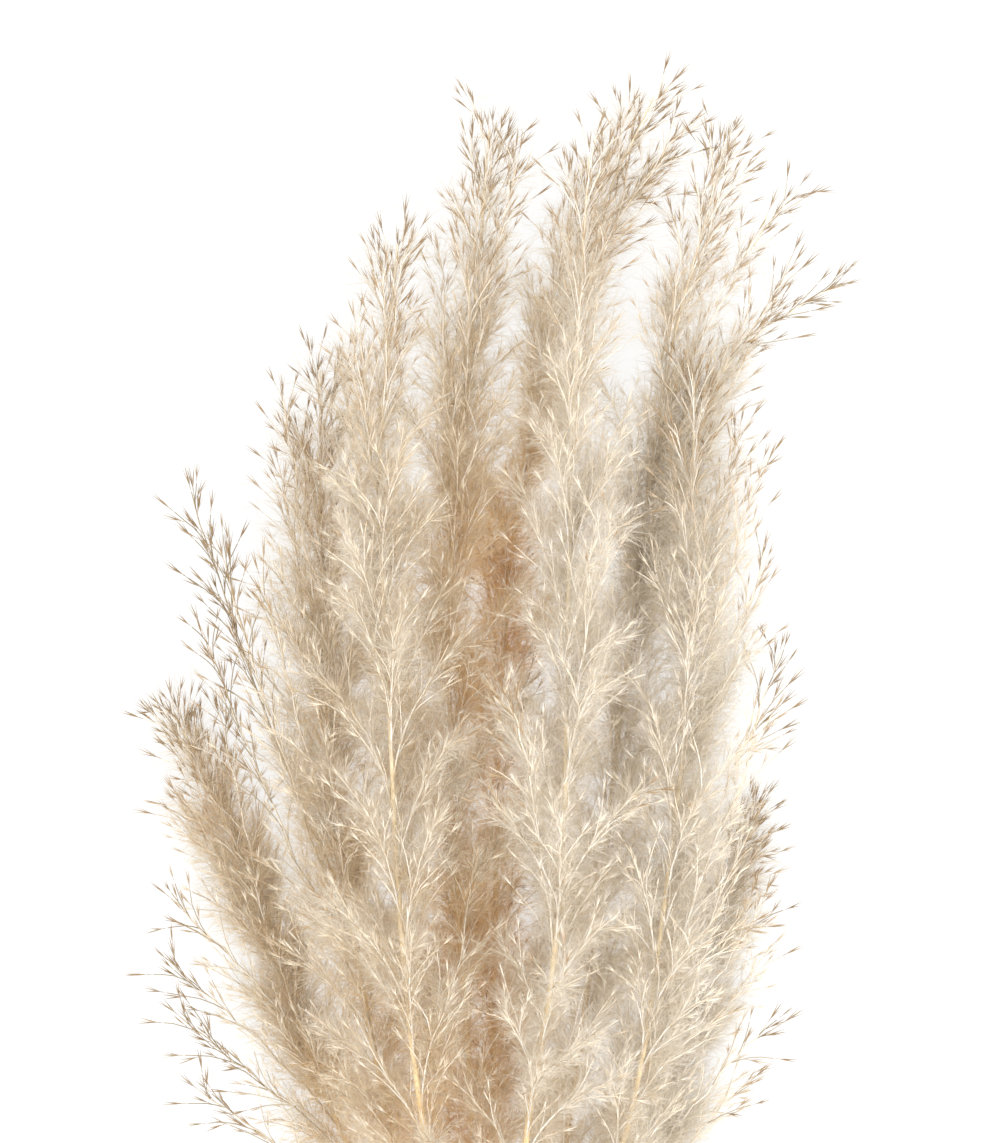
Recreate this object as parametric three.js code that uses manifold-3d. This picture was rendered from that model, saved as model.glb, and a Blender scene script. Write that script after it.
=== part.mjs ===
// A bundle of nine dried pampas grass stalks, tied with jute twine and lying on a flat surface.
// Millimetres. +Y runs from the cut stems to the feathery tips, +X to the right of the bundle's
// best side, which faces up, and +Z up from the surface. The origin lies on the surface, under
// the middle of the bundle's box.
//
// Every stalk is one smooth curve. Its culm is the bare straw as far as the head. Its plume is the
// head: a slim core of packed down along the rachis, branches that leave it in a spiral and bend
// outwards, and pointed spikelets along each branch.
import * as THREE from 'three';
import { mergeVertices } from 'three/addons/utils/BufferGeometryUtils.js';
import Module from 'manifold-3d';

const wasm = await Module();
wasm.setup();

// ---- driving dimensions ---------------------------------------------------------------------
const radians = THREE.MathUtils.degToRad;

const CUT_END_Y = -531;            // where the stalks were cut
const CUT_END_SPREAD = 2.1;        // the cut ends stand this many times as far apart as at the tie
const CUT_END_LIFT = 16;           // height of the middle of the cut ends
const TIE = { x: -2, y: -322, z: 31 };   // middle of the twine
const STRAIGHT_BY_TIE = 27;        // the stalks run side by side this far each side of the twine

const CULM_PITCH = 7.3;            // between neighbouring stalks under the twine
const CULM_RADIUS = { cut: 3.3, tie: 3.1, head: 2.3 };
const CULM_JOINT = { share: 0.28, halfWidth: 0.02, swell: 1.16 };
const CULM_SIDES = 6;
const HEAD_GAP = 0.3;              // between a culm and its plume

const DOWN_AT_TIP = 0.9;           // radius of the down where a head ends
const TUFTS = { tiers: 11, sides: 8, foot: 0.64, between: 0.7, notch: 0.6 };

const BRANCHES_PER_HEAD = 15;
const BRANCH_RADIUS = { root: 1.8, bend: 2.3, end: 1 };   // with the down close about it
const BRANCH_SIDES = 3;
const BRANCH_BEND = 0.48;          // share of a branch's length where it bends most
const BRANCH_BOW = 0.75;
const BRANCH_SPAN = { first: 0.05, last: 0.95 };   // shares of a head that bear branches
const LEAVING_ANGLE = { base: radians(36), tip: radians(15) };
const TURN_PER_BRANCH = radians(137.5);

const SPIKELET = { length: 14, radius: 1.5, widest: 0.45, lean: radians(24), root: 2 };
const SPIKELET_TURN = radians(144);
const SPIKELETS_ON_SPRAY = [0.56, 0.69, 0.81];     // shares of the spray's length

const CLEARANCE = 0.45;            // least gap between a branch and another stalk
const PRESSED_BELOW = 16;          // branches lower than this are pressed down by the surface

const TWINE = { radius: 1.4, turns: 4, outline: 14, slack: 0.8 };
const KNOT = { radius: 4.2, tail: 24, rise: [0.35, 0.5] };

const STRAW = new THREE.MeshStandardMaterial({ color: '#c9a66b', roughness: 0.55, metalness: 0 });
const DOWN = new THREE.MeshStandardMaterial({ color: '#dccbb2', roughness: 0.9, metalness: 0 });
const JUTE = new THREE.MeshStandardMaterial({ color: '#a5814f', roughness: 0.95, metalness: 0 });

// Each stalk: its place under the twine, in culm pitches from the middle; where its head begins;
// the length of its longest branches; the thickness of its down; the turn of its first branch;
// the points that the head's rachis passes through, the last being its tip; and its long outer
// sprays. A spray is the share of the head's length where it leaves, its bow (1 arches over
// outwards, below 0 it curves up), and the place where it ends.
const STALKS = [
  {
    name: 'tall', bed: [0, -0.87], headY: -236, reach: 120, down: 27, phase: 0.2,
    rachis: [
      [-8, -100, 26], [-6, 60, 20], [-2, 190, 21], [10, 305, 40], [34, 402, 60], [62, 474, 72],
      [89, 531, 78],
    ],
    sprays: [[0.76, 0.8, 122, 528, 92], [0.8, 0.7, 107, 508, 60], [0.66, 0.7, 50, 498, 84]],
  },
  {
    name: 'tall_left', bed: [-0.5, 0], headY: -226, reach: 120, down: 21, phase: 1.9,
    rachis: [
      [-20, -90, 74], [-30, 70, 92], [-34, 200, 98], [-28, 310, 100], [-18, 412, 98], [-10, 510, 92],
    ],
    sprays: [[0.72, 0.6, 13, 513, 112], [0.6, 0.6, -40, 459, 84]],
  },
  {
    name: 'arching', bed: [0.5, 0], headY: -230, reach: 124, down: 20, phase: 4.1,
    rachis: [
      [38, -90, 58], [58, 60, 68], [72, 180, 74], [86, 295, 80], [101, 385, 86], [118, 450, 88],
      [131, 498, 86],
    ],
    sprays: [
      [0.72, 0.9, 191, 492, 70], [0.66, 1.2, 222.5, 428, 62], [0.6, 0.9, 186, 444, 98],
      [0.58, 0.9, 161, 408, 58], [0.54, 0.8, 152, 384, 92],
    ],
  },
  {
    name: 'right', bed: [1.5, 0], headY: -216, reach: 116, down: 21, phase: 2.7,
    rachis: [[74, -80, 98], [94, 50, 118], [106, 160, 124], [110, 260, 120], [112, 357, 108]],
    sprays: [
      [0.66, 0.5, 146, 351, 92], [0.58, 0.5, 157, 330, 128], [0.46, 0.3, 161, 276, 104],
      [0.38, 0.2, 173, 216, 86], [0.34, 0.3, 164, 180, 138], [0.22, 0.2, 155, 114, 98],
    ],
  },
  {
    name: 'front', bed: [0.5, 1], headY: -222, reach: 112, down: 20, phase: 0.9,
    rachis: [
      [12, -90, 120], [27, 10, 144], [34, 110, 154], [36, 230, 152], [40, 350, 142], [49, 492, 124],
    ],
    sprays: [[0.5, 0.5, 66, 300, 192], [0.34, 0.5, -4, 190, 216]],
  },
  {
    name: 'left', bed: [-0.5, 1], headY: -224, reach: 116, down: 21, phase: 5.3,
    rachis: [
      [-48, -90, 112], [-62, 40, 140], [-68, 160, 150], [-74, 280, 147], [-71, 360, 140],
      [-64, 438, 126],
    ],
    sprays: [[0.7, 0.5, -88, 411, 150], [0.64, 0.4, -102, 387, 104]],
  },
  {
    name: 'far_left', bed: [-1.5, 0], headY: -222, reach: 110, down: 18, phase: 3.6,
    rachis: [[-70, -90, 66], [-94, 40, 84], [-106, 150, 92], [-111, 260, 92], [-112, 366, 84]],
    sprays: [
      [0.66, 0.3, -136, 369, 104], [0.6, 0.2, -142, 330, 62], [0.46, -0.5, -196, 315, 76],
      [0.4, -0.4, -176, 284, 118], [0.36, -0.3, -190, 232, 88], [0.42, 0.2, -150, 262, 134],
    ],
  },
  {
    name: 'low_left', bed: [-1, -0.87], headY: -228, reach: 100, down: 25, phase: 1.2,
    rachis: [[-98, -110, 26], [-134, -20, 17], [-158, 50, 21], [-182, 110, 36], [-203, 158, 46]],
    sprays: [
      [0.66, -0.2, -178, 178, 70], [0.6, 0.2, -214, 118, 30], [0.48, 0.1, -217, 60, 62],
      [0.34, 0.2, -222.5, 18, 34], [0.28, 0.1, -214, -12, 74], [0.16, 0.1, -206, -60, 44],
    ],
  },
  {
    name: 'low_right', bed: [1, -0.87], headY: -228, reach: 96, down: 24, phase: 2.2,
    rachis: [[88, -110, 24], [114, -20, 15], [132, 40, 20], [148, 92, 36]],
    sprays: [
      [0.56, 0.1, 168, 62, 64], [0.44, 0.1, 170, 24, 30], [0.32, 0.1, 172, -16, 62],
      [0.2, 0.1, 161, -52, 50],
    ],
  },
];

// ---- solids ---------------------------------------------------------------------------------
// The solid of a closed geometry.
function solidOf(geometry) {
  const bare = new THREE.BufferGeometry();
  bare.setAttribute('position', geometry.getAttribute('position'));
  bare.setIndex(geometry.index);
  const merged = mergeVertices(bare, 1e-4);
  const corners = [];
  for (let i = 0; i < merged.index.count; i += 3) {
    const [a, b, c] = [0, 1, 2].map((k) => merged.index.getX(i + k));
    if (a !== b && b !== c && c !== a) corners.push(a, b, c);
  }
  return new wasm.Manifold(new wasm.Mesh({
    numProp: 3,
    vertProperties: merged.getAttribute('position').array,
    triVerts: new Uint32Array(corners),
  }));
}

function geometryOf(solid) {
  const mesh = solid.getMesh();
  const geometry = new THREE.BufferGeometry();
  geometry.setAttribute('position', new THREE.BufferAttribute(mesh.vertProperties, 3));
  geometry.setIndex(new THREE.BufferAttribute(mesh.triVerts, 1));
  return geometry;
}

// The direction in which pointAt runs at t, and two directions square to it.
function frameAt(pointAt, t) {
  const step = 0.002;
  const before = pointAt(Math.max(0, t - step));
  const along = pointAt(Math.min(1, t + step)).sub(before).normalize();
  const side = along.clone().cross(new THREE.Vector3(0, 0, 1)).normalize();
  return { along, side, over: side.clone().cross(along) };
}

// The direction square to the frame's run, turned by this angle from its side.
const outwards = ({ side, over }, angle) => side.clone().multiplyScalar(Math.cos(angle))
  .addScaledVector(over, Math.sin(angle));

// A turned profile of [share of the length, radius] pairs, bent along pointAt. shape may move each
// corner, given its angle round the limb, its share of the length and its radius.
function limb(pointAt, profile, sides, shape = (angle, share, radius) => [share, radius]) {
  const outline = profile.map(([share, radius]) => new THREE.Vector2(radius, share));
  const geometry = new THREE.LatheGeometry(outline, sides);
  const place = geometry.getAttribute('position');
  for (let i = 0; i < place.count; i++) {
    const [x, y, z] = [place.getX(i), place.getY(i), place.getZ(i)];
    const angle = Math.atan2(z, x);
    const [share, radius] = shape(angle, y, Math.hypot(x, z));
    const point = pointAt(share).addScaledVector(outwards(frameAt(pointAt, share), angle), radius);
    place.setXYZ(i, point.x, point.y, point.z);
  }
  return solidOf(geometry);
}

// ---- room for each stalk ----------------------------------------------------------------------
// Every limb is also kept as round-ended rods, so that a new branch can be bent clear of the
// other stalks.
const rods = [];

// The least distance between the middle lines of two rods.
function distanceBetween(a, b) {
  const clamp = (value) => THREE.MathUtils.clamp(value, 0, 1);
  const alongA = a.to.clone().sub(a.from);
  const alongB = b.to.clone().sub(b.from);
  const apart = a.from.clone().sub(b.from);
  const [squareA, squareB, mixed] = [alongA.lengthSq(), alongB.lengthSq(), alongA.dot(alongB)];
  const [towardsA, towardsB] = [alongA.dot(apart), alongB.dot(apart)];
  const skew = squareA * squareB - mixed * mixed;
  let onA = skew > 1e-9 ? clamp((mixed * towardsB - towardsA * squareB) / skew) : 0;
  const onB = clamp((mixed * onA + towardsB) / squareB);
  onA = clamp((mixed * onB - towardsA) / squareA);
  return a.from.clone().addScaledVector(alongA, onA)
    .distanceTo(b.from.clone().addScaledVector(alongB, onB));
}

function rodsAlong(owner, pointAt, count, radiusAt, first = 0) {
  return Array.from({ length: count }, (_, i) => {
    const [start, end] = [i, i + 1].map((k) => first + ((1 - first) * k) / count);
    const radius = Math.max(...[start, (start + end) / 2, end].map(radiusAt));
    return { owner, from: pointAt(start), to: pointAt(end), radius };
  });
}

const isClear = (mine) => mine.every((a) => rods.every((b) => b.owner === a.owner
  || distanceBetween(a, b) > a.radius + b.radius + CLEARANCE));

// ---- stalks -----------------------------------------------------------------------------------
// The whole run of a stalk, from its cut end through the twine to the tip of its head.
function stalkCurve({ bed, rachis }) {
  const [across, up] = bed.map((pitches) => pitches * CULM_PITCH);
  const byTie = (offset) => new THREE.Vector3(TIE.x + across, TIE.y + offset, TIE.z + up);
  const cutEnd = new THREE.Vector3(
    TIE.x + across * CUT_END_SPREAD,
    CUT_END_Y,
    CUT_END_LIFT + up * CUT_END_SPREAD,
  );
  const straight = [-1, -1 / 3, 1 / 3, 1].map((share) => byTie(share * STRAIGHT_BY_TIE));
  const head = rachis.map((point) => new THREE.Vector3(...point));
  return new THREE.CatmullRomCurve3([cutEnd, ...straight, ...head], false, 'centripetal');
}

// The share of a curve's length at which it reaches this y, by halving.
function shareAtY(curve, y) {
  let [low, high] = [0, 1];
  while (high - low > 1e-9) {
    const middle = (low + high) / 2;
    if (curve.getPointAt(middle).y < y) low = middle;
    else high = middle;
  }
  return low;
}

const stretchOf = (curve, from, to) => (t) => curve.getPointAt(from + (to - from) * t);

// A culm tapers gently, and is swollen at the joint where a leaf once grew.
function culmSolid(pointAt) {
  const { cut, tie, head } = CULM_RADIUS;
  const { share, halfWidth, swell } = CULM_JOINT;
  return limb(pointAt, [
    [0, 0], [0, cut], [share - halfWidth, cut], [share, cut * swell], [share + halfWidth, cut],
    [0.62, tie], [0.74, tie], [0.88, (tie + head) / 2], [1, head], [1, 0],
  ], CULM_SIDES);
}

// Radius of the packed down along a head, from the culm's own at its base to a thread at its tip.
function downRadius({ down }, share) {
  const thread = THREE.MathUtils.lerp(CULM_RADIUS.head, DOWN_AT_TIP, share);
  const swell = Math.sin(Math.PI * share ** 0.92) ** 0.9;
  return thread + (down - CULM_RADIUS.head) * swell;
}

// The down lies in tiers of pointed tufts, like scales. Each tier flares towards its points, which
// stand out over the notches of the next.
function coreSolid(stalk, pointAt) {
  const { tiers, sides, foot, between, notch } = TUFTS;
  const edge = 0.05;
  const profile = [[0, 0]];
  for (let tier = 0; tier < tiers; tier++) {
    const [low, high] = [(tier + edge) / tiers, (tier + 1 - edge) / tiers];
    profile.push([low, downRadius(stalk, low) * (tier ? foot : 1)], [high, downRadius(stalk, high)]);
  }
  profile.push([1, 0]);
  const tufted = (angle, share, radius) => {
    const tier = Math.min(Math.floor(share * tiers), tiers - 1);
    const corner = Math.round((angle * sides) / (2 * Math.PI));
    const atPoints = share * tiers - tier > 0.5;
    if (!atPoints || tier === tiers - 1 || (corner + tier) % 2 === 0) return [share, radius];
    return [share - notch / tiers, radius * between];
  };
  return limb(pointAt, profile, sides, tufted);
}

// ---- branches ---------------------------------------------------------------------------------
// A point near the surface is eased up, so that it stays above it.
function pressed(point) {
  const depth = point.z / PRESSED_BELOW - 1;
  return depth < 0 ? point.setZ(PRESSED_BELOW * Math.exp(depth)) : point;
}

// The share of a branch's length where the spikelet that ends it begins.
const lastSpikelet = (length) => 1 - SPIKELET.length / length;

// An arch of straight stretches from root to tip. Its bow draws it towards the rachis.
function arch(root, along, tip, bow) {
  const length = root.distanceTo(tip);
  const upTheRachis = root.clone().addScaledVector(along, length / 2);
  const shoulder = root.clone().lerp(tip, 0.5).lerp(upTheRachis, bow);
  const curve = new THREE.QuadraticBezierCurve3(root, shoulder, tip);
  const bends = [0, BRANCH_BEND, lastSpikelet(length), 1];
  const corners = bends.map((share) => pressed(curve.getPoint(share)));
  return (t) => {
    const after = Math.max(1, bends.findIndex((share) => share >= Math.min(t, 1)));
    const [from, to] = [bends[after - 1], bends[after]];
    return corners[after - 1].clone().lerp(corners[after], (t - from) / (to - from));
  };
}

// The spikelets at these shares of a branch lean out from it, each turned on from the last.
function spikeletsOn(pointAt, shares, turn) {
  return shares.map((share, i) => {
    const frame = frameAt(pointAt, share);
    const direction = frame.along.clone().multiplyScalar(Math.cos(SPIKELET.lean))
      .addScaledVector(outwards(frame, turn + i * SPIKELET_TURN), Math.sin(SPIKELET.lean));
    const root = pointAt(share).addScaledVector(direction, -SPIKELET.root);
    return (t) => root.clone().addScaledVector(direction, t * SPIKELET.length);
  });
}

const spikeletSolid = (pointAt) => limb(
  pointAt,
  [[0, 0], [SPIKELET.widest, SPIKELET.radius], [1, 0]],
  BRANCH_SIDES,
);

// Half the thickness of a branch at t: it swells to its bend and thins towards its last spikelet.
function branchRadius(t, last) {
  const { root, bend, end } = BRANCH_RADIUS;
  if (t > last) return SPIKELET.radius;
  if (t < BRANCH_BEND) return THREE.MathUtils.mapLinear(t, 0, BRANCH_BEND, root, bend);
  return THREE.MathUtils.mapLinear(t, BRANCH_BEND, last, bend, end);
}

// A branch with its spikelets, or nothing if it isn't clear of the other stalks. A spikelet of
// its own ends it.
function branch(owner, pointAt, length, spikeletShares, turn) {
  const last = lastSpikelet(length);
  const spikelets = spikeletsOn(pointAt, spikeletShares, turn);
  const mine = [
    ...rodsAlong(owner, pointAt, 6, (t) => branchRadius(t, last), 0.06),
    ...spikelets.flatMap((spikelet) => rodsAlong(owner, spikelet, 1, () => SPIKELET.radius)),
  ];
  if (!isClear(mine)) return null;
  rods.push(...mine);
  const stem = limb(pointAt, [
    [0, 0], [0, branchRadius(0, last)], [BRANCH_BEND, branchRadius(BRANCH_BEND, last)],
    [last, branchRadius(last, last)], [last + SPIKELET.widest * (1 - last), SPIKELET.radius], [1, 0],
  ], BRANCH_SIDES);
  return [stem, ...spikelets.map(spikeletSolid)];
}

// A long spray ends where it is told to, or a little above or below if others are in its way.
function longSpray(stalk, pointAt, [share, bow, ...end], turn) {
  const { along } = frameAt(pointAt, share);
  const root = pointAt(share);
  for (const lift of [0, 6, -6, 12, -12, 20, -20]) {
    const tip = new THREE.Vector3(...end).setZ(end[2] + lift);
    const run = arch(root, along, tip, bow);
    const made = branch(stalk.name, run, root.distanceTo(tip), SPIKELETS_ON_SPRAY, turn);
    if (made) return made;
  }
  throw new Error(`a spray of ${stalk.name} has no room`);
}

// How long the branches are along a head, as a share of the longest.
const lengthShare = (share) => 0.42 + 0.58 * Math.sin(Math.PI * (0.18 + 0.8 * share)) ** 1.2;

// A branch that meets another stalk is turned round the rachis, and then shortened.
const TRIES = [1, 0.7].flatMap((shorter) => [0, 0.5, -0.5, 1, -1, 1.6, -1.6]
  .map((turned) => ({ shorter, turned })));

function spiralBranch(stalk, pointAt, i) {
  const { first, last } = BRANCH_SPAN;
  const share = THREE.MathUtils.lerp(first, last, (i + 0.5) / BRANCHES_PER_HEAD);
  const root = pointAt(share);
  const frame = frameAt(pointAt, share);
  const leaving = THREE.MathUtils.lerp(LEAVING_ANGLE.base, LEAVING_ANGLE.tip, share);
  for (const { shorter, turned } of TRIES) {
    const length = stalk.reach * lengthShare(share) * shorter;
    const out = outwards(frame, stalk.phase + i * TURN_PER_BRANCH + turned);
    const tip = root.clone()
      .addScaledVector(frame.along, length * Math.cos(leaving))
      .addScaledVector(out, length * Math.sin(leaving));
    const run = arch(root, frame.along, tip, BRANCH_BOW);
    const made = branch(stalk.name, run, length, [i % 2 ? 0.62 : 0.76], i);
    if (made) return made;
  }
  return [];
}

// ---- twine ------------------------------------------------------------------------------------
// The point at this angle on the outline that keeps a distance from the middles of all culms.
function roundTheCulms(angle, distance) {
  const step = (2 * Math.PI) / TWINE.outline;
  const support = (a) => distance + Math.max(...STALKS.map(
    ({ bed: [across, up] }) => CULM_PITCH * (across * Math.sin(a) + up * Math.cos(a)),
  ));
  const [near, far] = [support(angle), support(angle + step)];
  return {
    x: (far * Math.cos(angle) - near * Math.cos(angle + step)) / Math.sin(step),
    z: (near * Math.sin(angle + step) - far * Math.sin(angle)) / Math.sin(step),
  };
}

// The outline of the turns where they are cut through: flat inside, with a groove between turns.
function twineSection(inside) {
  const half = TWINE.turns * TWINE.radius;
  const corner = (out, along) => new THREE.Vector2(inside + out * TWINE.radius, along);
  const section = [corner(0, half), corner(0, -half)];
  for (let turn = 0; turn < TWINE.turns; turn++) {
    const middle = (2 * turn + 1) * TWINE.radius - half;
    if (turn > 0) section.push(corner(1.1, middle - TWINE.radius));
    section.push(corner(1.8, middle - 0.6 * TWINE.radius), corner(1.8, middle + 0.6 * TWINE.radius));
  }
  return [...section, section[0]];
}

function twineBand() {
  const band = new THREE.LatheGeometry(twineSection(CULM_RADIUS.tie + TWINE.slack), TWINE.outline);
  const place = band.getAttribute('position');
  for (let i = 0; i < place.count; i++) {
    const [x, along, z] = [place.getX(i), place.getY(i), place.getZ(i)];
    const point = roundTheCulms(Math.atan2(x, z), Math.hypot(x, z));
    place.setXYZ(i, TIE.x + point.x, TIE.y + along, TIE.z + point.z);
  }
  return solidOf(band);
}

// One tail runs to each side of the knot, rises a little and sinks again.
function knotTail(middle, way, rise) {
  const { radius } = TWINE;
  const onTail = (x, y, z) => new THREE.Vector3(x * way, y * way, z).multiplyScalar(KNOT.tail).add(middle);
  const run = new THREE.QuadraticBezierCurve3(
    middle,
    onTail(0.5, 0.12, 0.6 * rise),
    onTail(0.9, 0.38, -0.1 * rise),
  );
  const profile = [[0, 0], [0, radius], [0.35, radius], [0.7, radius], [1, radius], [1, 0]];
  return limb((t) => run.getPoint(t), profile, 6);
}

// The knot sits on top of the band, with its two cut tails.
function twineKnot() {
  const top = CULM_PITCH + CULM_RADIUS.tie + TWINE.slack + 2.6 * TWINE.radius;
  const middle = new THREE.Vector3(TIE.x, TIE.y, TIE.z + top);
  const ball = new THREE.SphereGeometry(KNOT.radius, 8, 6).scale(1.15, 0.95, 0.8);
  const knot = solidOf(ball.translate(middle.x, middle.y, middle.z));
  return [knot, knotTail(middle, 1, KNOT.rise[0]), knotTail(middle, -1, KNOT.rise[1])];
}

// ---- assembly ---------------------------------------------------------------------------------
const bundle = new THREE.Group();

// What lies below the surface is pressed flat: it is cut off there.
function addNode(name, solids, material) {
  const fused = wasm.Manifold.union(solids).trimByPlane([0, 0, 1], 0);
  const mesh = new THREE.Mesh(geometryOf(fused), material);
  mesh.name = name;
  bundle.add(mesh);
}

const stalks = STALKS.map((stalk) => {
  const curve = stalkCurve(stalk);
  const headShare = shareAtY(curve, stalk.headY);
  const gap = HEAD_GAP / curve.getLength();
  return {
    ...stalk,
    culmAt: stretchOf(curve, 0, headShare),
    headAt: stretchOf(curve, headShare + gap, 1),
  };
});

// Culms and cores take their room first, then the long sprays, then the branches.
for (const stalk of stalks) {
  rods.push(...rodsAlong(stalk.name, stalk.culmAt, 12, () => CULM_RADIUS.cut));
  rods.push(...rodsAlong(stalk.name, stalk.headAt, 24, (share) => downRadius(stalk, share)));
}
for (const stalk of stalks) {
  stalk.limbs = stalk.sprays.flatMap((spray, i) => longSpray(stalk, stalk.headAt, spray, i));
}
for (const stalk of stalks) {
  for (let i = 0; i < BRANCHES_PER_HEAD; i++) {
    stalk.limbs.push(...spiralBranch(stalk, stalk.headAt, i));
  }
}

for (const stalk of stalks) {
  addNode(`culm_${stalk.name}`, [culmSolid(stalk.culmAt)], STRAW);
  addNode(`plume_${stalk.name}`, [coreSolid(stalk, stalk.headAt), ...stalk.limbs], DOWN);
}
addNode('twine_tie', [twineBand(), ...twineKnot()], JUTE);

const box = new THREE.Box3().setFromObject(bundle);
const middle = box.getCenter(new THREE.Vector3());
bundle.position.set(-middle.x, -middle.y, -box.min.z);

export default bundle;
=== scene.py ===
"""The looks of a bundle of nine dried pampas grass stalks, tied with jute twine and lying on a pale floor.

Lengths are in millimetres until a mesh is made, which is in metres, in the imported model's frame. Each
head is grown from its rachis: branches leave it in a spiral, branchlets leave the branches, spikelets sit
along the branchlets, and silky down stands round every spikelet.
"""
import math
from collections import namedtuple

import bpy
import numpy as np
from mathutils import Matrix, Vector


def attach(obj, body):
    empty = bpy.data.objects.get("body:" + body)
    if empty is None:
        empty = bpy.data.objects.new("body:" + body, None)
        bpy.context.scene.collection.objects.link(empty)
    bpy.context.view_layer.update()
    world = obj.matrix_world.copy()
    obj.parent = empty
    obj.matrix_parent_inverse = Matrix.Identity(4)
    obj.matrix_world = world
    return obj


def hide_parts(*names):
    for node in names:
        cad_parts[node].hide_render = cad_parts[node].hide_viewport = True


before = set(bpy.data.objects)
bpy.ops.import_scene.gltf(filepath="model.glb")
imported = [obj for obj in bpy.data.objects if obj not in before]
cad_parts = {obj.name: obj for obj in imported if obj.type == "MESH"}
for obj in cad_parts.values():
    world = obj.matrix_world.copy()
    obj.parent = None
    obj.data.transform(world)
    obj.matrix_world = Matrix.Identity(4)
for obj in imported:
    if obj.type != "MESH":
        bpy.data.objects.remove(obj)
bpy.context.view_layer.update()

MM = 0.001
BUNDLE_SHIFT = np.array([0.62, -1.48, 0.0])   # brings the stalks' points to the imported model's origin

# ---- the stalks' run, as in the part's source ----
CUT_END_Y, CUT_END_SPREAD, CUT_END_LIFT = -531, 2.1, 16
TIE = np.array([-2.0, -322.0, 31.0])          # middle of the twine
STRAIGHT_BY_TIE, CULM_PITCH = 27, 7.3
CULM_RADIUS = {"cut": 3.3, "tie": 3.1, "head": 2.3}
CULM_JOINT_AT = 0.28                          # share of a culm's length where a leaf once grew
BRANCHES_IN_SOURCE = 15
LEAVING_ANGLE = (math.radians(36), math.radians(15))      # at a head's base and at its tip
TURN_PER_BRANCH = math.radians(137.5)
PRESSED_BELOW = 16

# bed: place under the twine, in culm pitches; head_y: where the head begins; reach: length of its longest
# branches; phase: turn of its first branch; warmth: how much warmer than the palest head it has dried;
# rachis: points of its rachis; sprays: its long outer sprays, each the share of the head where it leaves,
# its bow, and where it ends
Stalk = namedtuple("Stalk", "bed head_y reach phase warmth rachis sprays")
STALKS = {
    "tall": Stalk((0, -0.87), -236, 120, 0.2, 0.16, [
        (-8, -100, 26), (-6, 60, 20), (-2, 190, 21), (10, 305, 40), (34, 402, 60), (62, 474, 72),
        (89, 531, 78)], [
        (0.76, 0.8, 122, 528, 92), (0.8, 0.7, 107, 508, 60), (0.66, 0.7, 50, 498, 84)]),
    "tall_left": Stalk((-0.5, 0), -226, 120, 1.9, 0.1, [
        (-20, -90, 74), (-30, 70, 92), (-34, 200, 98), (-28, 310, 100), (-18, 412, 98), (-10, 510, 92)], [
        (0.72, 0.6, 13, 513, 112), (0.6, 0.6, -40, 459, 84)]),
    "arching": Stalk((0.5, 0), -230, 124, 4.1, 0.04, [
        (38, -90, 58), (58, 60, 68), (72, 180, 74), (86, 295, 80), (101, 385, 86), (118, 450, 88),
        (131, 498, 86)], [
        (0.72, 0.9, 191, 492, 70), (0.66, 1.2, 222.5, 428, 62), (0.6, 0.9, 186, 444, 98),
        (0.58, 0.9, 161, 408, 58), (0.54, 0.8, 152, 384, 92)]),
    "right": Stalk((1.5, 0), -216, 116, 2.7, 0.0, [
        (74, -80, 98), (94, 50, 118), (106, 160, 124), (110, 260, 120), (112, 357, 108)], [
        (0.66, 0.5, 146, 351, 92), (0.58, 0.5, 157, 330, 128), (0.46, 0.3, 161, 276, 104),
        (0.38, 0.2, 173, 216, 86), (0.34, 0.3, 164, 180, 138), (0.22, 0.2, 155, 114, 98)]),
    "front": Stalk((0.5, 1), -222, 112, 0.9, 0.0, [
        (12, -90, 120), (27, 10, 144), (34, 110, 154), (36, 230, 152), (40, 350, 142), (49, 492, 124)], [
        (0.5, 0.5, 66, 300, 192), (0.34, 0.5, -4, 190, 216)]),
    "left": Stalk((-0.5, 1), -224, 116, 5.3, 0.1, [
        (-48, -90, 112), (-62, 40, 140), (-68, 160, 150), (-74, 280, 147), (-71, 360, 140),
        (-64, 438, 126)], [
        (0.7, 0.5, -88, 411, 150), (0.64, 0.4, -102, 387, 104)]),
    "far_left": Stalk((-1.5, 0), -222, 110, 3.6, 0.16, [
        (-70, -90, 66), (-94, 40, 84), (-106, 150, 92), (-111, 260, 92), (-112, 366, 84)], [
        (0.66, 0.3, -136, 369, 104), (0.6, 0.2, -142, 330, 62), (0.46, -0.5, -196, 315, 76),
        (0.4, -0.4, -176, 284, 118), (0.36, -0.3, -190, 232, 88), (0.42, 0.2, -150, 262, 134)]),
    "low_left": Stalk((-1, -0.87), -228, 100, 1.2, 0.2, [
        (-98, -110, 26), (-134, -20, 17), (-158, 50, 21), (-182, 110, 36), (-203, 158, 46)], [
        (0.66, -0.2, -178, 178, 70), (0.6, 0.2, -214, 118, 30), (0.48, 0.1, -217, 60, 62),
        (0.34, 0.2, -222.5, 18, 34), (0.28, 0.1, -214, -12, 74), (0.16, 0.1, -206, -60, 44)]),
    "low_right": Stalk((1, -0.87), -228, 96, 2.2, 0.02, [
        (88, -110, 24), (114, -20, 15), (132, 40, 20), (148, 92, 36)], [
        (0.56, 0.1, 168, 62, 64), (0.44, 0.1, 170, 24, 30), (0.32, 0.1, 172, -16, 62),
        (0.2, 0.1, 161, -52, 50)]),
}

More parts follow.
